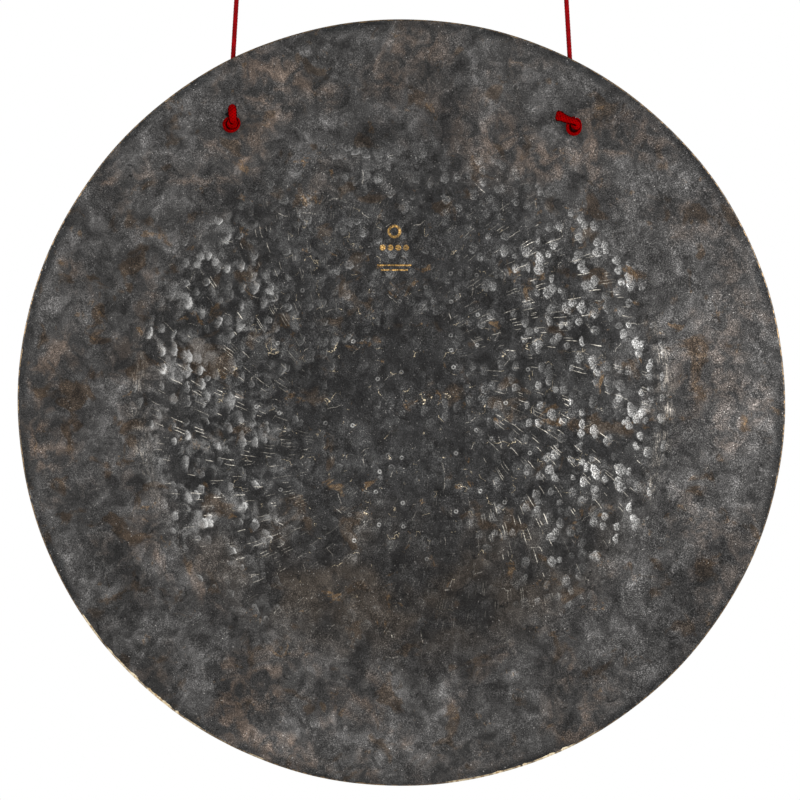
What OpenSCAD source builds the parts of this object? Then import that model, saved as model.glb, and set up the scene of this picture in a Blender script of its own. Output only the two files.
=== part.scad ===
// Rimless bronze gong, hung from one braided cord that lies over two hooks.
// Millimetres. +Z is up and the struck face looks along -Y. The origin lies midway
// between the hooks, on the line where the two strands of the cord leave them.

/* [Disc] */
// Diameter of the hammered bronze disc
gong_d = 813; // [650:1:1000]
// Thickness of the bronze sheet
sheet_t = 1.6; // [1:0.1:2.5]
// Diameter of the domed and hammered middle
dome_d = 562; // [420:1:600]
// How far the middle stands in front of its own foot
dome_rise = 12; // [4:0.5:24]
// How far the dome's foot stands in front of the rim
band_rise = 6; // [2:0.5:10]
// Bevel along both corners of the cut edge
edge_bevel = 0.4; // [0.1:0.05:0.45]

/* [Cord holes] */
// Distance of each hole's centre from the cut edge
hole_inset = 56; // [40:1:70]
// Diameter of the drilled holes
hole_d = 8; // [6.5:0.5:12]
// Play between the cord and the top of its hole
cord_play = 0.6; // [0.4:0.1:0.7]

/* [Cord and knots] */
// Diameter of the braided cord
cord_d = 5; // [4:0.5:6]
// Outside diameter of the knot's ring of cord
knot_d = 18; // [15:0.5:22]
// Thickness of that ring
knot_ring_t = 6; // [4:0.5:7]
// Depth of the knot, from the disc towards the player
knot_depth = 11; // [8:0.5:14]
// How far the middle of the knot hangs below its hole
knot_drop = 7; // [6:0.5:12]
// Width of the flattened end of the cord
tail_w = 9.6; // [6:0.2:12]
// Thickness of the flattened end of the cord
tail_t = 4; // [3:0.5:5]
// How far the end of the cord reaches from the middle of the knot
tail_reach = 22; // [16:1:30]

/* [Hang] */
// How far the disc leans, top edge forward, when it hangs still
hang_lean = 2.5; // [0:0.5:4]

/* [Hidden] */

// The cord's route on the right side, from the middle of the top span to the knot.
// It bends over a hook of 20 mm, and again where it turns forward through its hole.
top_span_half = 145;
span_step = 14.5;
hook_bend = [[160, 0, 12.5], [165, 0, 11.5], [169.5, 0, 9], [172, 0, 5], [173, 0, 1]];
strand_top = [173, 0, -1];
strand_foot = [181, 0, -136.4];
strand_rings = 11;
tilt_line = [0, 0, -137];
hole_bend = [
    [181, 0, -137.6], [181, -0.8, -140.8], [181, -3, -144.1],
    [181, -6.2, -146.3], [181, -10, -147], [181, -10.5, -147]
];
cord_sides = 10;
span_z = hook_bend[0][2];
knot_root = hole_bend[len(hole_bend) - 1];

// The disc hangs so that the cord bears on the top of each hole.
gong_r = gong_d / 2;
dome_r = dome_d / 2;
hole_reach = gong_r - hole_inset;
hole_z = knot_root[2] - (hole_d / 2 - cord_d / 2 - cord_play);
centre_z = hole_z - sqrt(hole_reach ^ 2 - knot_root[0] ^ 2);
hole_rise = band_rise * hole_inset / (gong_r - dome_r);
face_gap = 0.7;
face_y = knot_root[1] + face_gap;
rim_y = face_y + sheet_t / 2 + hole_rise;

// The disc's section: a straight band, then a shallow dome, then the axis.
dome_steps = 14;
function dome_at(r) = band_rise + dome_rise * (1 - (r / dome_r) ^ 2);
function side_of(shift) = concat(
    [[dome_r, band_rise + shift]],
    [for (k = [1 : dome_steps]) let (r = dome_r * (1 - k / dome_steps)) [r, dome_at(r) + shift]]
);
function reversed(list) = [for (k = [len(list) - 1 : -1 : 0]) list[k]];
front = sheet_t / 2;
rim_end = [
    [gong_r - edge_bevel, -front], [gong_r, edge_bevel - front],
    [gong_r, front - edge_bevel], [gong_r - edge_bevel, front]
];
section = concat(rim_end, side_of(front), reversed(side_of(-front)));

// A tube along points that all lie in the plane square to `flat`.
function unit(v) = v / norm(v);
function ring(p, along, flat, r, n) = let (out = cross(unit(along), flat))
    [for (k = [0 : n - 1]) p + r * (cos(360 * k / n) * flat + sin(360 * k / n) * out)];
function along_at(route, i) =
    route[min(i + 1, len(route) - 1)] - route[max(i - 1, 0)];
module tube(route, flat) {
    n = cord_sides;
    rings = len(route);
    points = [for (i = [0 : rings - 1]) each ring(route[i], along_at(route, i), flat, cord_d / 2, n)];
    walls = [for (i = [0 : rings - 2], k = [0 : n - 1])
        [i * n + k, i * n + (k + 1) % n, (i + 1) * n + (k + 1) % n, (i + 1) * n + k]];
    foot = [for (k = [n - 1 : -1 : 0]) k];
    head = [for (k = [0 : n - 1]) (rings - 1) * n + k];
    polyhedron(points, concat([foot], walls, [head]), convexity = 4);
}
function left(route) = [for (p = route) [-p[0], p[1], p[2]]];
function straight(a, b, n) = [for (k = [0 : n - 1]) a + (b - a) * k / (n - 1)];

// Puts a piece on the leaning disc.
module leaning() {
    translate(tilt_line) rotate([hang_lean, 0, 0]) translate(-tilt_line) children();
}

// Hammered disc: one sheet of bronze with two drilled holes for the cord.
module gong_disc() {
    color("#474744") leaning()
        translate([0, rim_y, centre_z]) rotate([90, 0, 0]) difference() {
            rotate_extrude($fn = 180) polygon(section);
            for (side = [-1, 1])
                translate([side * knot_root[0], hole_z - centre_z, -gong_r / 2])
                    cylinder(d = hole_d, h = gong_r, $fn = 48);
        }
}

// Part of the cord that lies over both hooks and spans the gap between them.
module cord_top() {
    span = [for (x = [-top_span_half : span_step : top_span_half]) [x, 0, span_z]];
    color("#a00a18") tube(concat(left(reversed(hook_bend)), span, hook_bend), [0, 1, 0]);
}

// Straight strand between a hook and its hole, behind the disc.
module cord_strand(side) {
    route = straight(strand_top, strand_foot, strand_rings);
    color("#a00a18") tube(side < 0 ? left(route) : route, [0, 1, 0]);
}

// Stretch that turns forward behind the disc and passes through its hole.
module cord_end(side) {
    color("#a00a18") leaning()
        tube(side < 0 ? left(hole_bend) : hole_bend, [1, 0, 0]);
}

// Overhand knot that bears on the face, with the flattened end of the cord lying over it.
module knot(side, tail_turn) {
    ring_r = knot_ring_t / 2;
    middle_r = knot_d / 2 - ring_r;
    color("#8c0610") leaning()
        translate([side * knot_root[0], knot_root[1], knot_root[2]]) rotate([90, 0, 0]) {
            cylinder(d = cord_d, h = knot_ring_t, $fn = 32);
            translate([0, -knot_drop, 0]) {
                translate([0, 0, ring_r]) rotate_extrude($fn = 48)
                    translate([middle_r, 0]) circle(r = ring_r, $fn = 24);
                translate([0, 0, ring_r / 2]) cylinder(r = middle_r, h = ring_r, $fn = 48);
                rotate(tail_turn) hull() {
                    translate([0, 0, ring_r]) cylinder(d = tail_w, h = knot_depth - ring_r, $fn = 32);
                    translate([tail_reach - tail_t / 2, 0, knot_ring_t + tail_t / 2])
                        rotate([90, 0, 0]) cylinder(d = tail_t, h = tail_w, center = true, $fn = 32);
                }
            }
        }
}

gong_disc();
cord_top();
cord_strand(-1);  // cord_strand_left
cord_strand(1);  // cord_strand_right
cord_end(-1);  // cord_end_left
cord_end(1);  // cord_end_right
knot(-1, 90);  // knot_left
knot(1, 150);  // knot_right
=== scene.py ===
import math
import random

import bpy
import numpy as np
from mathutils import Matrix, Vector


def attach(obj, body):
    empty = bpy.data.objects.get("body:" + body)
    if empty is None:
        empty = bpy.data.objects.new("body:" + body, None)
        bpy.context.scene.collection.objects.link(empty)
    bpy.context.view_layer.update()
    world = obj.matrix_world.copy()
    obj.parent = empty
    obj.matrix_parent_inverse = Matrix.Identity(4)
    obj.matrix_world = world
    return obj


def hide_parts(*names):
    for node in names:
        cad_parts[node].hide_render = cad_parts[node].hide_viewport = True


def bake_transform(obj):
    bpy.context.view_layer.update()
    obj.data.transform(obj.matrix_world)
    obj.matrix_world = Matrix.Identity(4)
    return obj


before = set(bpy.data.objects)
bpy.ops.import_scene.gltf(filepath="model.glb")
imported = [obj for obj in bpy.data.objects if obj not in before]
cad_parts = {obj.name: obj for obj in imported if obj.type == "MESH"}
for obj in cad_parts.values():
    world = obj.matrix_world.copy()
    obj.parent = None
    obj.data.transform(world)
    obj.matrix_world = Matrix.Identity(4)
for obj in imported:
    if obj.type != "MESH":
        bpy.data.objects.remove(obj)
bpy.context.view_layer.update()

# ---- Where the gong hangs, and the camera ----
# The whole gong hangs from two hooks. Its cord bends on the tilt line behind the disc, and the disc
# leans a little, top edge forward, because its weight sits under that line. The camera looks
# straight at the struck face from three metres away.
tilt_line = Vector((0, 0, -0.137))
hang_lean = Matrix.Rotation(math.radians(2.5), 4, "X")
lean = Matrix.Translation(tilt_line) @ hang_lean @ Matrix.Translation(-tilt_line)
disc_r = 0.4065
hole_inset = 0.056
hole_x = 0.181
hole_z = -0.1479
hole_up = math.sqrt((disc_r - hole_inset) ** 2 - hole_x ** 2)
rim_y = -0.00632
disc_middle = lean @ Vector((0, rim_y, hole_z - hole_up))

camera_data = bpy.data.cameras.new("studio_camera")
camera = bpy.data.objects.new("studio_camera", camera_data)
bpy.context.scene.collection.objects.link(camera)
bpy.context.scene.camera = camera
viewing_distance = 3.0
view_width = 0.8468
camera.location = disc_middle + Vector((-0.0015, -viewing_distance, 0.0051))
camera.rotation_euler = (math.radians(90), 0, 0)
camera_data.sensor_width = 36
camera_data.lens = 36 * viewing_distance / view_width
bpy.context.scene.view_settings.view_transform = "Standard"


# ---- Hanging cord ----
# One soft round braid of red polyester, five millimetres thick, twelve bundles plaited round a core.
# It comes up from the left hole, lies over both hooks, and runs down to the right hole, and the
# weight of the gong keeps it straight between them.
cord_r = 0.0025
top_span = [(x * 0.0145, 0, 0.0125) for x in range(-10, 11)]
hook_bend = [
    (0.160, 0, 0.0125), (0.165, 0, 0.0115), (0.1695, 0, 0.009), (0.172, 0, 0.005), (0.173, 0, 0.001),
]
strand_top = (0.173, 0, -0.001)
strand_foot = (0.181, 0, -0.1364)
strand = [tuple(Vector(strand_top).lerp(Vector(strand_foot), k / 10)) for k in range(11)]
right_run = hook_bend + strand
left_run = [(-x, y, z) for x, y, z in reversed(right_run)]
cord_route = left_run + top_span + right_run


def even_run(points, step):
    """Evenly spaced points on the smooth line that passes through the given ones."""
    p = np.array(points, float)
    gap = np.linalg.norm(np.diff(p, axis=0), axis=1)
    slope = np.diff(p, axis=0) / gap[:, None]
    middle = (gap[1:, None] * slope[:-1] + gap[:-1, None] * slope[1:]) / (gap[1:] + gap[:-1])[:, None]
    slope = np.vstack([slope[:1], middle, slope[-1:]])
    at = np.concatenate([[0], np.cumsum(gap)])
    s = np.linspace(0, at[-1], max(2, round(at[-1] / step) + 1))
    i = np.clip(np.searchsorted(at, s, side="right") - 1, 0, len(gap) - 1)
    h = gap[i][:, None]
    t = (s - at[i])[:, None] / h
    run = (
        (2 * t ** 3 - 3 * t ** 2 + 1) * p[i]
        + (t ** 3 - 2 * t ** 2 + t) * h * slope[i]
        + (3 * t ** 2 - 2 * t ** 3) * p[i + 1]
        + (t ** 3 - t ** 2) * h * slope[i + 1]
    )
    return run


def braided_tube(name, points, flat_side, wide=None, thick=None, paint_contact_shade=False):
    """A round braid along the points. wide and thick give its half sizes from first point to last;
    the last flag gives it painted shade at its sides and where its turns press on each other."""
    plaits, lay, relief = 6, 0.02, 0.00028
    ring_step, sides = 0.00055, 36
    run = even_run(points, ring_step)
    n = len(run)
    share = np.linspace(0, 1, n)
    wide = np.interp(share, *zip(*wide)) if wide else np.full(n, cord_r)
    thick = np.interp(share, *zip(*thick)) if thick else np.full(n, cord_r)
    along = np.gradient(run, axis=0)
    along /= np.linalg.norm(along, axis=1)[:, None]

    # The flat side is carried back from the last point to the first, so that the braid never twists.
    out = np.zeros_like(run)
    side = np.array(flat_side, float)
    for k in range(n - 1, -1, -1):
        side = side - (side @ along[k]) * along[k]
        side /= np.linalg.norm(side)
        out[k] = side
    across = np.cross(along, out)

    # Two sets of bundles wind opposite ways, and each stands proud between its crossings.
    walked = np.concatenate([[0], np.cumsum(np.linalg.norm(np.diff(run, axis=0), axis=1))])
    turn = np.arange(sides) / sides
    a = plaits * (turn[None, :] + walked[:, None] / lay)
    b = plaits * (turn[None, :] - walked[:, None] / lay)
    crown = (np.abs(np.sin(np.pi * a)) * np.abs(np.sin(np.pi * b))) ** 0.6
    push = 1 + (crown - 0.65) * relief / np.minimum(wide, thick)[:, None]
    cos, sin = np.cos(2 * np.pi * turn), np.sin(2 * np.pi * turn)
    skin = (
        run[:, None, :]
        + (push * thick[:, None] * cos[None, :])[..., None] * out[:, None, :]
        + (push * wide[:, None] * sin[None, :])[..., None] * across[:, None, :]
    )
    verts = [tuple(v) for v in skin.reshape(-1, 3)]
    faces = []
    for r in range(n - 1):
        for k in range(sides):
            m = (k + 1) % sides
            faces.append((r * sides + k, r * sides + m, (r + 1) * sides + m, (r + 1) * sides + k))
    verts += [tuple(run[0]), tuple(run[-1])]
    for k in range(sides):
        m = (k + 1) % sides
        faces.append((n * sides, m, k))
        faces.append((n * sides + 1, (n - 1) * sides + k, (n - 1) * sides + m))
    mesh = bpy.data.meshes.new(name)
    mesh.from_pydata(verts, [], faces)
    mesh.shade_smooth()
    height = mesh.attributes.new("crown", "FLOAT", "POINT")
    height.data.foreach_set("value", np.append(crown.ravel(), [0, 0]).astype(np.float32))

    # Painted shade: a point is darkened if it lies at the side of the braid, or close beside another turn
    # of it.
    painted_contact_shade = np.zeros((n, sides))
    if paint_contact_shade:
        painted_contact_shade += np.clip((np.abs(sin) - 0.66) / 0.28, 0, 1)[None, :] * 0.85
        slice_half, next_turn = 0.0006, 0.0085
        for r in range(n):
            gap = skin - run[r]
            ring = np.hypot(gap @ out[r] / thick[r], gap @ across[r] / wide[r])
            level = np.abs(gap @ along[r]) < slice_half
            elsewhere = np.abs(walked - walked[r]) > next_turn
            painted_contact_shade = np.maximum(painted_contact_shade, np.clip((1.34 - ring) / 0.24, 0, 1) * (level & elsewhere[:, None]))
    mark = mesh.attributes.new("painted_contact_shade", "FLOAT", "POINT")
    mark.data.foreach_set("value", np.append(painted_contact_shade.ravel(), [0, 0]).astype(np.float32))
    piece = bpy.data.objects.new(name, mesh)
    bpy.context.scene.collection.objects.link(piece)
    return piece, run


class Recipe:
    """Lays the steps of a finish or a surface one after the other in a node tree."""

    def __init__(self, tree):
        self.tree = tree

    def put(self, socket, value):
        if isinstance(value, bpy.types.NodeSocket):
            self.tree.links.new(value, socket)
        else:
            socket.default_value = value

    def step(self, kind, inputs=(), **settings):
        node = self.tree.nodes.new(kind)
        for key, value in settings.items():
            setattr(node, key, value)
        for key, value in dict(inputs).items():
            self.put(node.inputs[key], value)
        return node

    def math(self, operation, a, b=None, clamp=False):
        inputs = {0: a} if b is None else {0: a, 1: b}
        return self.step("ShaderNodeMath", inputs, operation=operation, use_clamp=clamp).outputs[0]

    def vector(self, operation, a, b=None):
        inputs = {0: a} if b is None else {0: a, 1: b}
        return self.step("ShaderNodeVectorMath", inputs, operation=operation)

    def rise(self, value, low, high, first=0.0, last=1.0):
        inputs = {"Value": value, "From Min": low, "From Max": high, "To Min": first, "To Max": last}
        return self.step("ShaderNodeMapRange", inputs, interpolation_type="SMOOTHSTEP").outputs[0]

    def cloud(self, at, scale, detail=3.0, rough=0.55, warp=0.0):
        inputs = {"Vector": at, "Scale": scale, "Detail": detail, "Roughness": rough, "Distortion": warp}
        return self.step("ShaderNodeTexNoise", inputs, noise_dimensions="3D").outputs[0]

    def cells(self, at, scale, feature="F1"):
        inputs = {"Vector": at, "Scale": scale}
        return self.step("ShaderNodeTexVoronoi", inputs, voronoi_dimensions="2D", feature=feature)

    def mix(self, amount, a, b, how="MIX"):
        node = self.step("ShaderNodeMix", {0: amount}, data_type="RGBA", blend_type=how, clamp_factor=True)
        self.put(node.inputs[6], a)
        self.put(node.inputs[7], b)
        return node.outputs[2]


def new_finish(name):
    """An empty material, its recipe and its shader."""
    material = bpy.data.materials.new(name)
    material.use_nodes = True
    recipe = Recipe(material.node_tree)
    return material, recipe, material.node_tree.nodes["Principled BSDF"]


def braid_red(name, deep, bright, crease_shade, shine):
    """Matt dyed braid: bundles of fine yarn, with painted shade between the bundles and where a knot's
    turns press together, faded here and there.
    """
    material, make, shader = new_finish(name)
    place = make.step("ShaderNodeTexCoord").outputs["Object"]
    crown = make.step("ShaderNodeAttribute", attribute_name="crown").outputs["Fac"]
    fade = make.cloud(place, 140, 4)
    yarn = make.cloud(place, 1700, 2, 0.6, 0.6)
    dye = make.mix(make.rise(fade, 0.38, 0.66), deep, bright)
    loose_yarn = tuple(1.5 * c for c in bright[:3]) + (1,)
    dye = make.mix(make.rise(yarn, 0.42, 0.72, 0.0, 0.45), dye, loose_yarn)
    # Painted shade between the bundles, where the crown is low.
    dye = make.mix(make.rise(crown, 0.10, 0.55, 0.85, 0.0), dye, crease_shade)
    painted_contact_shade = make.step("ShaderNodeAttribute", attribute_name="painted_contact_shade").outputs["Fac"]
    # Painted shade at the sides of a knot's braid and where its turns touch.
    dye = make.mix(make.rise(painted_contact_shade, 0.1, 0.9, 0.0, 0.92), dye, crease_shade)
    make.put(shader.inputs["Base Color"], dye)
    make.put(shader.inputs["Roughness"], make.rise(yarn, 0.3, 0.7, 0.72, 0.95))
    shader.inputs["Sheen Weight"].default_value = shine / 2
    shader.inputs["Sheen Roughness"].default_value = 0.5
    shader.inputs["Sheen Tint"].default_value = (0.9, 0.10, 0.10, 1)
    shader.inputs["Specular IOR Level"].default_value = shine
    height = make.math("ADD", make.math("MULTIPLY", yarn, 0.7), make.math("MULTIPLY", fade, 0.3))
    bump = make.step("ShaderNodeBump", {"Height": height, "Strength": 0.7, "Distance": 0.0003})
    make.put(shader.inputs["Normal"], bump.outputs["Normal"])
    return material


red_braid = braid_red(
    "red_braid", deep=(0.17, 0.0, 0.0010, 1), bright=(0.29, 0.0, 0.0022, 1),
    crease_shade=(0.018, 0.0, 0.0, 1), shine=0.08,
)
hanging_cord, cord_path = braided_tube("hanging_cord", cord_route, (0, 1, 0))
hanging_cord.data.materials.append(red_braid)
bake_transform(hanging_cord)
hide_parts("cord_top", "cord_strand_left", "cord_strand_right")


# ---- Cord ends through the holes ----
# Behind the disc the same braid turns forward and passes through its drilled hole. It is limp,
# and turns through this short bend, which is built in one fixed shape.
def on_disc(points):
    """Points of the upright disc, moved to where they are on the leaning one."""
    return [tuple(lean @ Vector(p)) for p in points]


hole_bend = [
    (0.181, 0, -0.1345), (0.181, 0, -0.1376), (0.181, -0.0008, -0.1408), (0.181, -0.003, -0.1441),
    (0.181, -0.0062, -0.1463), (0.181, -0.010, -0.1470), (0.181, -0.0115, -0.1470),
]
for side, word in ((-1, "left"), (1, "right")):
    bend = on_disc([(side * x, y, z) for x, y, z in hole_bend])
    end, _ = braided_tube(f"cord_end_{word}_braid", bend, (1, 0, 0))
    end.data.materials.append(red_braid)
    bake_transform(end)
    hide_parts(f"cord_end_{word}")


# ---- Knots ----
# In front of each hole the braid is tied in one overhand knot, drawn tight against the bronze. The
# cut end is fused, pressed flat between the fingers while soft, and lies over the knot.
knot_red = braid_red(
    "knot_red", deep=(0.150, 0.0, 0.0002, 1), bright=(0.275, 0.0, 0.0006, 1),
    crease_shade=(0.006, 0.0, 0.0, 1), shine=0.0,
)
knot_middle = {"left": (-0.1790, -0.0105, -0.1527), "right": (0.1813, -0.0105, -0.1555)}
left_knot = [
    (-1.8, 4.6, -0.2), (-2.0, 4.6, 1.2), (-3.6, 4.6, 2.6), (-5.9, 2.4, 3.2), (-6.1, -1.0, 3.4),
    (-4.4, -4.5, 3.4), (-0.6, -5.9, 3.5), (3.4, -4.7, 3.9), (6.4, -1.5, 4.6), (7.1, 2.1, 5.1),
    (5.4, 5.0, 5.1), (1.8, 5.6, 4.6), (-1.3, 3.2, 4.6), (-1.6, -0.2, 5.7), (1.0, -2.0, 6.8),
    (4.0, -0.9, 7.4), (4.3, 1.8, 7.9), (2.5, 4.6, 8.4), (1.9, 8.8, 8.2), (1.6, 13.0, 7.5),
    (1.4, 17.2, 6.8), (1.3, 21.2, 6.3),
]
left_wide = [
    (0, 3.4), (0.03, 3.4), (0.07, 2.9), (0.60, 2.8), (0.70, 2.9), (0.78, 4.3), (0.90, 4.8), (0.95, 4.6),
    (0.98, 3.4), (1, 1.0),
]
left_thick = [
    (0, 3.4), (0.03, 3.4), (0.07, 2.8), (0.60, 2.6), (0.70, 2.5), (0.80, 2.1), (0.95, 1.7), (0.98, 1.3),
    (1, 0.4),
]
right_knot = [
    (-0.7, 7.0, -0.2), (-0.9, 7.0, 1.2), (-2.8, 6.0, 2.6), (-5.2, 3.2, 3.2), (-5.6, -0.6, 3.3),
    (-4.2, -4.5, 3.4), (-0.2, -6.4, 3.4), (3.9, -4.9, 3.6), (5.5, -1.2, 4.2), (5.4, 3.2, 5.0),
    (3.4, 6.9, 5.4), (0.2, 7.2, 4.9), (-1.2, 3.4, 4.8), (0.2, 0.2, 6.2), (3.0, -0.4, 7.4),
    (4.2, 2.2, 8.0), (1.9, 5.0, 8.4), (-2.6, 6.5, 8.2), (-6.8, 7.7, 7.6), (-10.8, 9.4, 7.0),
    (-14.8, 11.3, 6.5), (-19.2, 12.2, 6.2),
]
right_wide = [
    (0, 3.4), (0.03, 3.4), (0.07, 2.8), (0.60, 2.65), (0.70, 2.9), (0.78, 3.6), (0.90, 4.6), (0.955, 5.8),
    (0.985, 5.4), (1, 3.6),
]
right_thick = [
    (0, 3.4), (0.03, 3.4), (0.07, 2.7), (0.60, 2.5), (0.70, 2.5), (0.80, 2.1), (0.955, 1.6), (0.985, 1.2),
    (1, 0.5),
]
for word, shape, wide, thick in (
    ("left", left_knot, left_wide, left_thick), ("right", right_knot, right_wide, right_thick),
):
    x, y, z = knot_middle[word]
    points = on_disc([(x + u / 1000, y - w / 1000, z + v / 1000) for u, v, w in shape])
    wide = [(share, size / 1000) for share, size in wide]
    thick = [(share, size / 1000) for share, size in thick]
    knot, _ = braided_tube(f"knot_{word}_braid", points, (0, -1, 0), wide, thick, paint_contact_shade=True)
    knot.data.materials.append(knot_red)
    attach(knot, "gong")
    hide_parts(f"knot_{word}")


# ---- Gong disc ----
# One round sheet of hammered tin bronze, 1.6 mm thick. The middle is driven up into a shallow dome
# with a ball hammer, stroke beside stroke, and the band outside it is only trued by hand. The fire
# left it nearly black, and the edge is trimmed with shears, which bares the yellow metal.
sheet_t = 0.0016
dome_r = 0.281
dome_rise = 0.012
band_rise = 0.006
hole_r = 0.004
disc_place = lean @ Matrix.Translation((0, rim_y, hole_z - hole_up))


def sheet_height(r):
    """How far the middle of the sheet stands in front of the rim, at each distance from the centre."""
    dome = band_rise + dome_rise * (1 - (r / dome_r) ** 2)
    band = band_rise * (disc_r - r) / (disc_r - dome_r)
    return np.where(r < dome_r, dome, band)


dice = random.Random(32)
waves = []
for _ in range(26):
    pitch = dice.uniform(0.05, 0.17)
    heading = dice.uniform(0, 2 * math.pi)
    start = dice.uniform(0, 2 * math.pi)
    waves.append((2 * math.pi / pitch, heading, start, pitch * dice.uniform(0.0004, 0.0011)))


def waviness(x, z):
    """The slow unevenness that the hammer leaves in the whole sheet."""
    total = np.zeros_like(x)
    for rate, heading, start, size in waves:
        total += size * np.sin(rate * (x * math.cos(heading) + z * math.sin(heading)) + start)
    return total


# Runs of chips along the edge: from and to in degrees, how many, least and most half width, and depth.
chip_runs = (
    (-146, -112, 26, 0.020, 0.055, 0.45),
    (-135, -126, 14, 0.003, 0.012, 1.0),
    (-84, -60, 20, 0.015, 0.045, 0.45),
    (-76, -64, 12, 0.003, 0.012, 0.9),
    (-180, 180, 60, 0.006, 0.030, 0.22),
)
chips = []
for low, high, count, narrow, broad, most in chip_runs:
    for _ in range(count):
        width = dice.uniform(narrow, broad)
        chips.append((math.radians(dice.uniform(low, high)), width, most * dice.uniform(0.45, 1)))


def chipped(turn):
    """How deep the shears chipped the front of the edge, 0 to 1, at each angle round the disc."""
    total = np.zeros_like(turn)
    for place, width, depth in chips:
        away = (turn - place + math.pi) % (2 * math.pi) - math.pi
        total = np.maximum(total, depth * np.clip(1.25 - np.abs(away) / width, 0, 1))
    return total


ring_points = []
ring_kinds = []
chip_depth = 0.0022


def lay_ring(r, count, kind, level, edge=0.0):
    """One ring of points at height level in the flat sheet. edge says how far the chips bite it."""
    turn = 2 * math.pi * (np.arange(count) + 0.5) / count
    reach = r - chip_depth * edge * chipped(turn)
    untrue = 0.0007 * (r / disc_r) ** 8
    reach = reach * (1 - untrue * (1 + np.sin(5 * turn + 1) * np.sin(13 * turn)))
    x, z = reach * np.cos(turn), reach * np.sin(turn)
    ring_points.append(np.column_stack([x, np.full(count, level), z]))
    ring_kinds.append(kind)


def stitched(loop_a, turn_a, loop_b, turn_b):
    """Triangles between two loops of points, each in the order of its angles."""
    faces = []
    n, m = len(loop_a), len(loop_b)
    i = j = 0
    while i < n or j < m:
        ahead_a = turn_a[(i + 1) % n] + 2 * math.pi * ((i + 1) // n)
        ahead_b = turn_b[(j + 1) % m] + 2 * math.pi * ((j + 1) // m)
        a, b = loop_a[i % n], loop_b[j % m]
        if j >= m or (i < n and ahead_a <= ahead_b):
            faces.append((a, loop_a[(i + 1) % n], b))
            i += 1
        else:
            faces.append((a, loop_b[(j + 1) % m], b))
            j += 1
    return faces


# Rings from the middle of the front to the rim, over the edge, and back to the middle behind.
front = sheet_t / 2
dome_rings, dome_step = 143, 0.002
band_rings, band_step, band_start = 29, 0.00405, 0.286
back_rings, back_step = 49, 0.008
rim_count = 6 * dome_rings
for k in range(1, dome_rings + 1):
    lay_ring(dome_step * k, 6 * k, "front", front)
for k in range(1, band_rings + 1):
    lay_ring(band_start + band_step * k, rim_count, "front", front)
for inset, kind, level, edge in (
    (0.0012, "front", front, 1.0),
    (0.0004, "edge", front - 0.0001, 0.35),
    (0.0, "edge", front - 0.0004, 0.12),
    (0.0, "edge", -front + 0.0004, 0.0),
    (0.0004, "edge", -front, 0.0),
):
    lay_ring(disc_r - inset, rim_count, kind, level, edge)
lay_ring(disc_r - 0.004, 600, "back", -front)
for k in range(back_rings, 0, -1):
    lay_ring(back_step * k, 6 * k, "back", -front)

starts = np.cumsum([1] + [len(p) for p in ring_points])
flat = np.vstack([[(0, front, 0)]] + ring_points + [[(0, -front, 0)]])
faces = []
finishes = []
for k in range(len(ring_points) + 1):
    if k == 0:
        n = len(ring_points[0])
        new = [(0, 1 + m, 1 + (m + 1) % n) for m in range(n)]
        kind = "front"
    elif k == len(ring_points):
        n = len(ring_points[-1])
        low = starts[k - 1]
        new = [(len(flat) - 1, low + (m + 1) % n, low + m) for m in range(n)]
        kind = "back"
    else:
        na, nb = len(ring_points[k - 1]), len(ring_points[k])
        ids_a, ids_b = starts[k - 1] + np.arange(na), starts[k] + np.arange(nb)
        turn_a = 2 * math.pi * (np.arange(na) + 0.5) / na
        turn_b = 2 * math.pi * (np.arange(nb) + 0.5) / nb
        new = stitched(ids_a, turn_a, ids_b, turn_b)
        kind = "edge" if "edge" in (ring_kinds[k - 1], ring_kinds[k]) else ring_kinds[k]
    faces += [tuple(int(v) for v in f) for f in new]
    finishes += [kind] * len(new)

# Both holes are drilled through the flat points before the sheet gets its shape. Round each one the
# old triangles go, and new ones join what is left to a small bevel and to the wall of the hole.
extra = []
hole_sides, hole_bevel = 32, 0.0003
for side in (-1, 1):
    centre_x = side * hole_x
    away = np.hypot(flat[:, 0] - centre_x, flat[:, 2] - hole_up)
    angle = np.arctan2(flat[:, 2] - hole_up, flat[:, 0] - centre_x)
    turn = -math.pi + 2 * math.pi * (np.arange(hole_sides) + 0.5) / hole_sides
    walls = []
    for level, clear in ((front, 0.0062), (-front, 0.0095)):
        gone = (away < clear) & (np.sign(flat[:, 1]) == np.sign(level))
        cut = [f for f in range(len(faces)) if any(v < len(flat) and gone[v] for v in faces[f])]
        edges = {pair for f in cut for pair in zip(faces[f], faces[f][1:] + faces[f][:1])}
        open_edges = [pair for pair in edges if pair[::-1] not in edges]
        for f in sorted(cut, reverse=True):
            del faces[f]
            del finishes[f]
        loop = sorted({v for pair in open_edges for v in pair}, key=lambda v: angle[v])
        loop_turn = [angle[v] for v in loop]
        kind = "front" if level > 0 else "back"
        for reach, depth in ((hole_r + hole_bevel, 1.0), (hole_r, 0.72)):
            base = len(flat) + len(extra)
            for t in turn:
                extra.append((centre_x + reach * math.cos(t), level * depth, hole_up + reach * math.sin(t)))
            ids = list(range(base, base + hole_sides))
            faces += stitched(loop, loop_turn, ids, turn)
            finishes += [kind] * (len(loop) + hole_sides)
            loop, loop_turn, kind = ids, turn, "edge"
        walls.append(loop)
    faces += stitched(walls[0], turn, walls[1], turn)
    finishes += ["edge"] * (2 * hole_sides)

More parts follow.
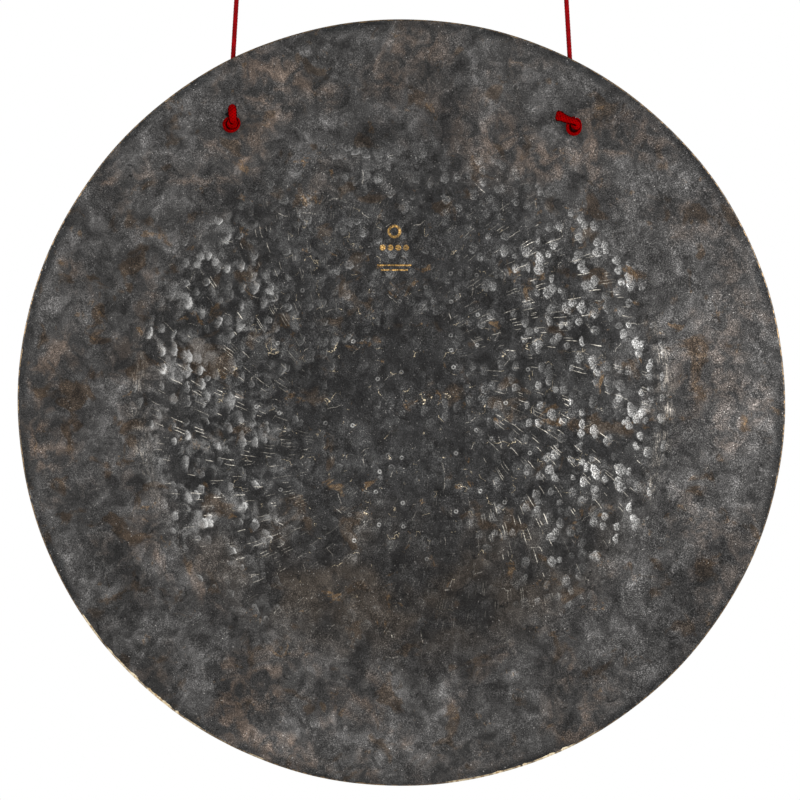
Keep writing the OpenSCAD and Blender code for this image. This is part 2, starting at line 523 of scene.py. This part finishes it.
# The flat sheet is raised into its dome and band. It waves less near its rim.
points = np.vstack([flat, np.array(extra)])
reach = np.hypot(points[:, 0], points[:, 2])
level = points[:, 1].copy()
quiet = 1 - 0.9 * np.clip((reach - 0.385) / 0.02, 0, 1)
stand = sheet_height(reach) + waviness(points[:, 0], points[:, 2]) * quiet
points[:, 1] = -(stand + level)
disc_mesh = bpy.data.meshes.new("hammered_disc")
disc_mesh.from_pydata([tuple(p) for p in points], [], faces)
struck = disc_mesh.attributes.new("struck", "FLOAT", "POINT")
fade = np.clip((0.292 - reach) / 0.03, 0, 1)
struck.data.foreach_set("value", np.where(level > 0.0007, 0.12 + 0.88 * fade, 0).astype(np.float32))
fresh = disc_mesh.attributes.new("fresh", "FLOAT", "POINT")
fresh.data.foreach_set("value", chipped(np.arctan2(points[:, 2], points[:, 0])).astype(np.float32))
disc = bpy.data.objects.new("hammered_disc", disc_mesh)
bpy.context.scene.collection.objects.link(disc)


def hammer_strokes(make, place):
    """Dents side by side: how deep each point lies, the cells that hold the dents, and the place
    of each point on the flat sheet."""
    parts = make.step("ShaderNodeSeparateXYZ", {0: place})
    on_sheet = make.step("ShaderNodeCombineXYZ", {0: parts.outputs[0], 1: parts.outputs[2]}).outputs[0]

    # The dents aren't quite round, and stand a little taller than wide.
    shake = make.step("ShaderNodeTexNoise", {"Vector": place, "Scale": 130, "Detail": 2.0}).outputs[1]
    shake = make.vector("SUBTRACT", shake, (0.5, 0.5, 0.5)).outputs[0]
    shake = make.vector("MULTIPLY", shake, (0.0058, 0.0058, 0.0058)).outputs[0]
    shaken = make.vector("ADD", on_sheet, shake).outputs[0]
    shaken = make.vector("MULTIPLY", shaken, (1.08, 0.86, 1.0)).outputs[0]

    # Two passes of the hammer. pitch is the distance between its strokes, and size is the half width
    # of a dent as a share of that.
    depth = 0.0
    strokes = []
    for shift, pitch, size, deep in (
        ((0.31, 0.17, 0), 0.0130, 0.41, 0.9),
        ((1.73, 0.91, 0), 0.0155, 0.37, 1.0),
    ):
        moved = make.vector("ADD", shaken, shift).outputs[0]
        cell = make.cells(moved, 1 / pitch)
        away = make.math("DIVIDE", cell.outputs["Distance"], size)
        bowl = make.math("SUBTRACT", 1.0, make.math("POWER", away, 2))
        depth = make.math("MAXIMUM", depth, make.math("MULTIPLY", bowl, deep))
        strokes.append((cell, moved, pitch, size))
    return depth, strokes, on_sheet


# The same strokes are pressed into the mesh here, and drawn in the finishes below.
hammering = bpy.data.node_groups.new("hammering", "GeometryNodeTree")
hammering.interface.new_socket("Geometry", in_out="INPUT", socket_type="NodeSocketGeometry")
hammering.interface.new_socket("Geometry", in_out="OUTPUT", socket_type="NodeSocketGeometry")
hammer = Recipe(hammering)
blank = hammer.step("NodeGroupInput")
shaped = hammer.step("NodeGroupOutput")
stroke_depth, _, _ = hammer_strokes(hammer, hammer.step("GeometryNodeInputPosition").outputs[0])
where = hammer.step("GeometryNodeInputNamedAttribute", {"Name": "struck"}, data_type="FLOAT")
deepest_stroke = 0.00034
sink = hammer.math("MULTIPLY", hammer.math("MULTIPLY", stroke_depth, where.outputs[0]), deepest_stroke)
shift = hammer.step("ShaderNodeCombineXYZ", {1: sink})
pressed = hammer.step("GeometryNodeSetPosition", {"Geometry": blank.outputs[0], "Offset": shift.outputs[0]})
hammer.put(shaped.inputs[0], pressed.outputs[0])
work = disc.modifiers.new("hammering", "NODES")
work.node_group = hammering
bpy.context.view_layer.update()
finished = bpy.data.meshes.new_from_object(disc.evaluated_get(bpy.context.evaluated_depsgraph_get()))
disc.modifiers.clear()
disc.data = finished
finished.shade_smooth()
finished.set_sharp_from_angle(angle=math.radians(32))


def fired_bronze():
    """Face of the disc: fire scale, worn hammer strokes with painted highlights and shade,
    scratches, and the gold stamp.
    """
    material, make, shader = new_finish("fired_bronze")
    place = make.step("ShaderNodeTexCoord").outputs["Object"]
    depth, strokes, on_sheet = hammer_strokes(make, place)
    reach = make.vector("LENGTH", on_sheet).outputs["Value"]
    parts = make.step("ShaderNodeSeparateXYZ", {0: on_sheet})
    across, up = parts.outputs[0], parts.outputs[1]
    charcoal, warm_grey = (0.0240, 0.0237, 0.0237, 1), (0.0525, 0.0508, 0.0497, 1)
    stain_brown, smoke_brown = (0.074, 0.052, 0.038, 1), (0.038, 0.030, 0.023, 1)
    rust_brown, ochre = (0.043, 0.029, 0.018, 1), (0.110, 0.066, 0.029, 1)
    rim_dark, dent_shadow = (0.018, 0.018, 0.018, 1), (0.0125, 0.0120, 0.0115, 1)
    bare_metal_and_highlight, scuff_and_highlight = (0.40, 0.395, 0.385, 1), (0.25, 0.225, 0.195, 1)
    fresh_cut, old_cut = (0.60, 0.56, 0.49, 1), (0.30, 0.28, 0.25, 1)
    punch_grey, gilt_seam = (0.30, 0.295, 0.285, 1), (0.40, 0.335, 0.235, 1)
    crack_black, speck_black = (0.006, 0.006, 0.006, 1), (0.005, 0.005, 0.005, 1)
    speck_grey, shadow_black = (0.21, 0.20, 0.19, 1), (0.002, 0.0015, 0.0015, 1)
    stamp_gold = (0.34, 0.20, 0.060, 1)

    def times(a, b):
        return make.math("MULTIPLY", a, b)

    def plus(a, b):
        return make.math("ADD", a, b)

    def size_of(a):
        return make.math("ABSOLUTE", a)

    def draws(cell):
        """Three random numbers that each cell keeps to itself."""
        return make.step("ShaderNodeSeparateColor", {0: cell.outputs["Color"]}).outputs

    # Fire scale: charcoal on the dome, lighter and brown-stained outside it, mottled at every scale.
    drift = make.cloud(place, 4.5, 1, 0.5)
    cloud = make.cloud(place, 15, 2, 0.6, 0.3)
    patch = make.cloud(place, 58, 2, 0.6, 0.7)
    mottle = make.cloud(place, 210, 2, 0.7, 0.8)
    grain = make.cloud(place, 820, 1, 0.8)
    gate = make.cloud(place, 33, 2)
    outer = make.rise(plus(reach, times(cloud, 0.10)), 0.26, 0.38)
    tone = make.mix(outer, charcoal, warm_grey)
    stain = times(make.rise(make.cloud(place, 10, 4, 0.62, 0.6), 0.47, 0.64), make.rise(patch, 0.38, 0.60))
    stain = times(stain, make.rise(across, 0.15, 0.34, 0.66, 0.34))
    tone = make.mix(times(stain, outer), tone, stain_brown)
    left = make.rise(across, 0.04, -0.06)
    bottom = times(make.rise(up, -0.08, -0.19), make.rise(outer, 1.0, 0.0))
    tone = make.mix(times(bottom, make.rise(cloud, 0.38, 0.58, 0.10, 0.75)), tone, smoke_brown)
    flank = make.math("MAXIMUM", make.rise(across, 0.05, 0.16), make.rise(across, -0.09, -0.19))
    flank = times(flank, make.rise(size_of(up), 0.25, 0.13))
    rust = plus(make.cloud(place, 27, 3, 0.6, 0.4), times(times(flank, left), 0.035))
    rust = times(make.rise(rust, 0.585, 0.665), plus(times(flank, 0.15), 0.62))
    tone = make.mix(rust, tone, rust_brown)
    flecks = make.rise(make.cloud(place, 40, 4, 0.7, 0.5), 0.615, 0.690)
    flecks = times(flecks, make.rise(reach, 0.27, 0.32, 0.62, 0.40))
    tone = make.mix(flecks, tone, ochre)
    # Darker in patches near the rim.
    rim_darkening = make.rise(plus(reach, times(patch, 0.024)), 0.407, 0.414)
    tone = make.mix(times(rim_darkening, make.rise(cloud, 0.42, 0.56)), tone, rim_dark)

    # The dents on the flanks of the dome are partly worn to bare grey metal and partly lit by a painted
    # highlight of the side lamps, brightest as painted crescents on their inner rims; some dents get a
    # painted shadow instead. lit goes from -1 to 1 across a dent, and is highest on the side that is
    # nearest the gong's middle.
    inside = make.rise(plus(reach, times(patch, 0.03)), 0.306, 0.284)
    middle = times(make.rise(up, -0.20, -0.04, 0.10, 0.22), make.rise(across, -0.12, 0.04, 0.5, 1.0))
    middle = plus(middle, make.rise(up, 0.08, 0.16, 0.0, 0.10))
    handled_and_lit = times(plus(times(flank, 0.78), middle), inside)
    handled_and_lit = times(handled_and_lit, make.rise(make.cloud(place, 24, 2), 0.37, 0.58, 0.22, 1.0))
    handled_and_lit = times(handled_and_lit, make.rise(across, 0.08, 0.22, 1.0, 1.55))
    outward = make.vector("NORMALIZE", on_sheet).outputs[0]
    ragged = plus(times(plus(mottle, -0.5), plus(times(left, 0.4), 0.6)), times(plus(grain, -0.5), 0.4))
    worn_and_lit = shaded = 0.0
    for cell, moved, pitch, size in strokes:
        chance, depth_draw, size_draw = draws(cell)[:3]
        offset = make.vector("SUBTRACT", cell.outputs["Position"], moved).outputs[0]
        lit = make.vector("DOT_PRODUCT", offset, outward).outputs["Value"]
        lit = make.math("DIVIDE", lit, size * pitch)
        width = plus(times(size_draw, 0.56 * size), plus(times(left, 0.10 * size), 0.58 * size))
        away = make.math("DIVIDE", cell.outputs["Distance"], width)
        faded = times(make.rise(lit, 0.4, -0.6), times(left, -0.46))
        spot = make.rise(plus(away, ragged), 1.02, plus(faded, 0.84))
        crescent_highlight = times(make.rise(lit, 0.10, 0.60), make.rise(away, 0.55, 0.88))
        crescent_highlight = times(times(crescent_highlight, make.rise(depth_draw, 0.30, 0.9)), plus(times(left, 1.6), 0.3))
        body = make.rise(lit, -0.8, 0.8, plus(times(left, -0.08), 0.18), plus(times(left, 0.28), 0.36))
        glow = plus(body, crescent_highlight)
        often = make.rise(chance, plus(times(left, 0.04), 0.46), plus(times(left, 0.20), 0.68))
        worn_and_lit = make.math("MAXIMUM", worn_and_lit, times(times(spot, often), glow))
        shaded = make.math("MAXIMUM", shaded, times(spot, make.rise(chance, 0.24, 0.10)))
    tone = make.mix(times(times(shaded, inside), 0.55), tone, dent_shadow)
    haze = times(make.rise(patch, 0.44, 0.64), plus(times(left, 0.15), 0.03))
    grit = make.rise(grain, 0.36, 0.62, plus(times(left, 0.30), 0.50), plus(times(left, -0.25), 1.50))
    rubbed_and_lit = times(plus(worn_and_lit, haze), grit)
    burnish_and_highlight = make.math("MULTIPLY", rubbed_and_lit, handled_and_lit, clamp=True)
    tone = make.mix(burnish_and_highlight, tone, bare_metal_and_highlight)

    # The foot of the dome is scuffed along its length, and painted pale as a highlight at its left and
    # right flanks, at mid height, where the side lamps catch the crease.
    turn = make.math("ARCTAN2", up, across)
    along = make.step("ShaderNodeCombineXYZ", {0: times(reach, 620), 1: times(turn, 22)}).outputs[0]
    scuffs = make.rise(make.cloud(along, 1.0, 2, 0.6, 0.4), 0.44, 0.62)
    crest_highlight = make.rise(size_of(plus(reach, -0.2790)), 0.0135, 0.001)
    crest_highlight = times(crest_highlight, plus(make.rise(across, 0.20, 0.27), times(make.rise(across, -0.20, -0.27), 0.55)))
    crest_highlight = times(crest_highlight, make.rise(size_of(plus(up, 0.01)), 0.13, 0.03))
    crest_highlight = times(crest_highlight, make.rise(patch, 0.36, 0.60))
    tone = make.mix(times(times(crest_highlight, scuffs), 0.75), tone, scuff_and_highlight)

    # Chatter of the hammer's edge: thin pale lines that all sweep the same way round the centre.
    # Some lines are double.
    rows, spokes = 46, 30
    sweep = plus(turn, times(make.math("LOGARITHM", reach, math.e), 0.466))
    polar = make.step("ShaderNodeCombineXYZ", {0: times(reach, rows), 1: times(sweep, spokes)}).outputs[0]
    line = make.cells(polar, 1.0)
    chance, pair_draw, length_draw = draws(line)[:3]
    offset = make.vector("SUBTRACT", polar, line.outputs["Position"]).outputs[0]
    offset = make.step("ShaderNodeSeparateXYZ", {0: offset})
    bent = times(plus(make.cloud(place, 70, 1), -0.5), 0.0032)
    aside = size_of(plus(times(times(offset.outputs[1], 0.9 / spokes), reach), bent))
    aside = size_of(make.math("SUBTRACT", aside, times(make.rise(pair_draw, 0.80, 0.82), 0.0015)))
    length = plus(times(length_draw, 0.0066), 0.0024)
    ahead = make.math("DIVIDE", size_of(times(offset.outputs[0], 1 / rows)), length)
    dash = times(make.rise(aside, 0.00052, 0.00010), make.rise(ahead, 1.0, 0.6))
    dash = times(dash, make.rise(chance, 0.50, 0.85))
    dash = times(dash, times(make.rise(reach, 0.06, 0.12), make.rise(reach, 0.275, 0.24)))
    dash = times(times(dash, plus(times(flank, 0.85), 0.10)), make.rise(mottle, 0.36, 0.58, 0.35, 1.0))
    tone = make.mix(dash, tone, fresh_cut)

    # Stray scratches, each on a heading of its own, over the whole dome.
    stray_place = make.vector("ADD", on_sheet, (7.3, 5.9, 0)).outputs[0]
    stray = make.cells(stray_place, 34)
    chance, heading, length_draw = draws(stray)[:3]
    offset = make.vector("SUBTRACT", stray_place, stray.outputs["Position"]).outputs[0]
    offset = make.step("ShaderNodeSeparateXYZ", {0: offset})
    heading = times(heading, 2 * math.pi)
    cos, sin = make.math("COSINE", heading), make.math("SINE", heading)
    ahead = plus(times(offset.outputs[0], cos), times(offset.outputs[1], sin))
    aside = make.math("SUBTRACT", times(offset.outputs[1], cos), times(offset.outputs[0], sin))
    aside = size_of(plus(aside, times(plus(make.cloud(place, 90, 1), -0.5), 0.009)))
    ahead = make.math("DIVIDE", size_of(ahead), plus(times(length_draw, 0.0075), 0.0018))
    scratch = times(make.rise(aside, 0.00060, 0.00015), make.rise(ahead, 1.0, 0.6))
    scratch = times(scratch, make.rise(chance, 0.45, 0.80))
    scratch = times(scratch, times(inside, make.rise(grain, 0.36, 0.55)))
    tone = make.mix(times(scratch, 0.60), tone, old_cut)

    # Small round punch marks in the middle.
    punch = make.cells(make.vector("ADD", on_sheet, (4.1, 2.3, 0)).outputs[0], 38)
    chance = draws(punch)[0]
    band = size_of(plus(punch.outputs["Distance"], -0.062))
    ring = times(make.rise(band, 0.042, 0.010), make.rise(chance, 0.62, 0.93))
    ring = times(ring, make.rise(reach, 0.21, 0.12))
    tone = make.mix(times(ring, 0.75), tone, punch_grey)

    # Fine curling seams: gilt where they are worn through, black where the scale has cracked, and
    # specks of dust, black and pale.
    curl = make.step("ShaderNodeTexNoise", {"Vector": place, "Scale": 105, "Detail": 2.5}).outputs[1]
    curl = make.vector("MULTIPLY", curl, (0.022, 0.022, 0.022)).outputs[0]
    curled = make.vector("ADD", on_sheet, curl).outputs[0]
    seams = make.cells(curled, 40, "DISTANCE_TO_EDGE").outputs["Distance"]
    gilt = times(make.rise(seams, 0.019, 0.003), make.rise(make.cloud(place, 62, 2), 0.578, 0.63))
    gilt = times(gilt, times(make.rise(reach, 0.25, 0.16), make.rise(grain, 0.34, 0.52)))
    tone = make.mix(times(gilt, 0.85), tone, gilt_seam)
    crack = times(make.rise(seams, 0.050, 0.010), make.rise(gate, 0.345, 0.30))
    tone = make.mix(times(crack, 0.80), tone, crack_black)
    dust = make.cloud(place, 520, 1, 0.6)
    tone = make.mix(times(make.rise(dust, 0.305, 0.265), 0.85), tone, speck_black)
    tone = make.mix(times(make.rise(dust, 0.705, 0.76), 0.80), tone, speck_grey)

    # Painted shadow: a near-black spot beside the left hole, next to the knot's tail.
    shadow_place = (0.0032 - 0.185, hole_up + 0.0064, 0)
    tail_shadow = make.vector("SUBTRACT", on_sheet, shadow_place).outputs[0]
    tail_shadow = plus(make.vector("LENGTH", tail_shadow).outputs["Value"], times(mottle, 0.003))
    tone = make.mix(make.rise(tail_shadow, 0.0050, 0.0040), tone, shadow_black)

    # Gold stamp below the top edge: a plain ring, four dots and two lines, rubbed thin in places.
    def stripe(value, middle, half):
        return make.rise(size_of(plus(value, -middle)), half + 0.0003, half - 0.0003)

    def around(x, z):
        spot = make.vector("SUBTRACT", on_sheet, (x, z, 0)).outputs[0]
        return make.vector("LENGTH", spot).outputs["Value"]

    stamp_x, ring_z, dots_z, dot_pitch = -0.0074, 0.183, 0.1660, 0.0082
    stamp = stripe(around(stamp_x, ring_z), 0.0058, 0.0013)
    for k in range(4):
        dot = stripe(around(stamp_x + dot_pitch * (k - 1.5), dots_z), 0.0, 0.0030)
        stamp = make.math("MAXIMUM", stamp, dot)
    for line_z, half_width, half in ((0.1475, 0.018, 0.0008), (0.1425, 0.014, 0.0007)):
        line = times(stripe(up, line_z, half), stripe(across, stamp_x, half_width))
        stamp = make.math("MAXIMUM", stamp, line)
    stamp = times(stamp, make.rise(mottle, 0.34, 0.52, 0.35, 1.0))
    tone = make.mix(stamp, tone, stamp_gold)

    # The mottling multiplies everything, as soot does. Its amounts are in doublings of the tone.
    outside = make.rise(reach, 0.262, 0.30)
    rough = times(times(make.rise(across, 0.16, 0.30), outside), 2.6)
    rough = plus(make.rise(gate, 0.36, 0.64, 4.4, 7.8), rough)
    rough = times(rough, make.rise(times(burnish_and_highlight, left), 0.03, 0.30, 1.0, 0.40))
    speckle = times(plus(grain, -0.5), times(rough, 0.88))
    blotch = plus(times(plus(patch, -0.5), plus(times(outside, 1.9), 3.1)), times(plus(mottle, -0.5), 1.2))
    smoke = times(plus(cloud, -0.5), plus(times(outside, 1.5), 1.8))
    soot = plus(plus(speckle, blotch), plus(smoke, times(plus(drift, -0.5), 1.8)))
    soot = make.math("POWER", 2.0, soot)
    soot = make.step("ShaderNodeCombineXYZ", {0: soot, 1: soot, 2: soot}).outputs[0]
    make.put(shader.inputs["Base Color"], make.vector("MULTIPLY", tone, soot).outputs[0])
    make.put(shader.inputs["Metallic"], make.rise(burnish_and_highlight, 0.0, 0.6, 0.30, 0.60))
    shader.inputs["Specular IOR Level"].default_value = 0.15
    make.put(shader.inputs["Roughness"], make.rise(patch, 0.3, 0.7, 0.46, 0.60))
    fine = plus(plus(times(grain, 0.35), times(mottle, 0.5)), times(patch, 1.6))
    fine = make.math("SUBTRACT", fine, times(times(depth, inside), 1.2))
    bump = make.step("ShaderNodeBump", {"Height": fine, "Strength": 0.6, "Distance": 0.00035})
    make.put(shader.inputs["Normal"], bump.outputs["Normal"])
    return material


def anvil_scale():
    """Back of the disc: fire scale, and a rubbed ring round every place that bore on the anvil."""
    material, make, shader = new_finish("anvil_scale")
    place = make.step("ShaderNodeTexCoord").outputs["Object"]
    depth, _, on_sheet = hammer_strokes(make, place)
    reach = make.vector("LENGTH", on_sheet).outputs["Value"]
    cloud = make.cloud(place, 13, 3, 0.6, 0.4)
    patch = make.cloud(place, 62, 2, 0.65, 0.6)
    mottle = make.cloud(place, 230, 2, 0.7, 0.6)
    grain = make.cloud(place, 820, 1, 0.8)
    dark_scale, pale_scale = (0.034, 0.033, 0.032, 1), (0.062, 0.057, 0.052, 1)
    rust_brown, rubbed_metal = (0.090, 0.056, 0.032, 1), (0.22, 0.21, 0.195, 1)
    tone = make.mix(make.rise(cloud, 0.40, 0.62), dark_scale, pale_scale)
    rust = make.math("MULTIPLY", make.rise(patch, 0.54, 0.64), make.rise(cloud, 0.44, 0.60, 0.0, 0.7))
    tone = make.mix(rust, tone, rust_brown)
    ring = make.math("MULTIPLY", make.rise(depth, 0.02, 0.16), make.rise(depth, 0.60, 0.20))
    ring = make.math("MULTIPLY", ring, make.rise(make.math("ADD", patch, mottle), 0.85, 1.10, 0.0, 0.6))
    ring = make.math("MULTIPLY", ring, make.rise(reach, 0.292, 0.262, 0.15, 1.0))
    tone = make.mix(ring, tone, rubbed_metal)
    speckle = make.math("MULTIPLY", make.math("ADD", grain, -0.5), 5.0)
    blotch = make.math("MULTIPLY", make.math("ADD", mottle, -0.5), 2.6)
    smoke = make.math("MULTIPLY", make.math("ADD", patch, -0.5), 3.0)
    soot = make.math("POWER", 2.0, make.math("ADD", make.math("ADD", speckle, blotch), smoke))
    soot = make.step("ShaderNodeCombineXYZ", {0: soot, 1: soot, 2: soot}).outputs[0]
    make.put(shader.inputs["Base Color"], make.vector("MULTIPLY", tone, soot).outputs[0])
    shader.inputs["Metallic"].default_value = 0.35
    make.put(shader.inputs["Roughness"], make.rise(patch, 0.3, 0.7, 0.46, 0.62))
    relief = make.math("SUBTRACT", make.math("MULTIPLY", mottle, 0.5), depth)
    bump = make.step("ShaderNodeBump", {"Height": relief, "Strength": 0.6, "Distance": 0.0004})
    make.put(shader.inputs["Normal"], bump.outputs["Normal"])
    return material


def sheared_bronze():
    """Cut edge: dull brown bronze, and bright yellow where the shears chipped it."""
    material, make, shader = new_finish("sheared_bronze")
    place = make.step("ShaderNodeTexCoord").outputs["Object"]
    fresh = make.step("ShaderNodeAttribute", attribute_name="fresh").outputs["Fac"]
    score = make.cloud(place, 260, 4, 0.65)
    scale_brown, old_bronze = (0.045, 0.038, 0.032, 1), (0.26, 0.17, 0.085, 1)
    new_bronze, bright_bronze = (0.40, 0.26, 0.12, 1), (0.90, 0.78, 0.56, 1)
    dull = make.mix(make.rise(score, 0.40, 0.66), scale_brown, old_bronze)
    clean = make.mix(make.rise(score, 0.34, 0.60), new_bronze, bright_bronze)
    make.put(shader.inputs["Base Color"], make.mix(make.rise(fresh, 0.15, 0.55), dull, clean))
    shader.inputs["Metallic"].default_value = 0.7
    make.put(shader.inputs["Roughness"], make.rise(score, 0.3, 0.7, 0.5, 0.3))
    bump = make.step("ShaderNodeBump", {"Height": score, "Strength": 0.5, "Distance": 0.0003})
    make.put(shader.inputs["Normal"], bump.outputs["Normal"])
    return material


kinds = ("front", "back", "edge")
for material in (fired_bronze(), anvil_scale(), sheared_bronze()):
    finished.materials.append(material)
finished.polygons.foreach_set("material_index", [kinds.index(kind) for kind in finishes])
disc.matrix_world = disc_place
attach(disc, "gong")
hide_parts("gong_disc")


# ---- Floor, backdrop light and lamps ----
# A plain pale floor under the gong, a white surround, and two large soft lamps at the left and
# right of the camera, so that the hammered flanks of the dome catch them. A third lights the back.
floor_mesh = bpy.data.meshes.new("studio_floor")
floor_r, floor_z, floor_sides = 2.2, -1.2, 96
floor_turn = [2 * math.pi * k / floor_sides for k in range(floor_sides)]
floor_rim = [(floor_r * math.cos(turn), floor_r * math.sin(turn), floor_z) for turn in floor_turn]
floor_mesh.from_pydata(floor_rim, [], [tuple(range(floor_sides))])
floor = bpy.data.objects.new("studio_floor", floor_mesh)
bpy.context.scene.collection.objects.link(floor)
floor_paint, floor_make, floor_shader = new_finish("floor_paint")
floor_place = floor_make.step("ShaderNodeTexCoord").outputs["Object"]
dusty, clean = (0.80, 0.80, 0.79, 1), (0.84, 0.84, 0.83, 1)
floor_tone = floor_make.mix(floor_make.cloud(floor_place, 3, 3), dusty, clean)
floor_make.put(floor_shader.inputs["Base Color"], floor_tone)
floor_shader.inputs["Roughness"].default_value = 0.8
floor_mesh.materials.append(floor_paint)

world = bpy.data.worlds.new("studio")
bpy.context.scene.world = world
world.use_nodes = True
air = Recipe(world.node_tree)
seen = air.step("ShaderNodeLightPath").outputs["Is Camera Ray"]
glow = air.step("ShaderNodeBackground", {"Color": (1, 1, 1, 1), "Strength": 1.0})
dim = air.step("ShaderNodeBackground", {"Color": (1, 1, 1, 1), "Strength": 0.45})
both = air.step("ShaderNodeMixShader", {0: seen, 1: dim.outputs[0], 2: glow.outputs[0]})
air.put(world.node_tree.nodes["World Output"].inputs["Surface"], both.outputs[0])


def soft_lamp(name, place, aim, width, height, power):
    """A large soft box that points at aim."""
    light = bpy.data.lights.new(name, "AREA")
    light.shape = "RECTANGLE"
    light.size, light.size_y, light.energy = width, height, power
    lamp = bpy.data.objects.new(name, light)
    bpy.context.scene.collection.objects.link(lamp)
    lamp.location = place
    lamp.rotation_euler = (Vector(aim) - Vector(place)).to_track_quat("-Z", "Y").to_euler()


soft_lamp("lamp_left", (-2.1, -2.4, -0.1), disc_middle, 1.0, 1.6, 41)
soft_lamp("lamp_right", (2.1, -2.4, 0.0), disc_middle, 1.0, 1.6, 72)
soft_lamp("lamp_back", (0.4, 2.4, 0.9), disc_middle, 1.4, 1.4, 30)
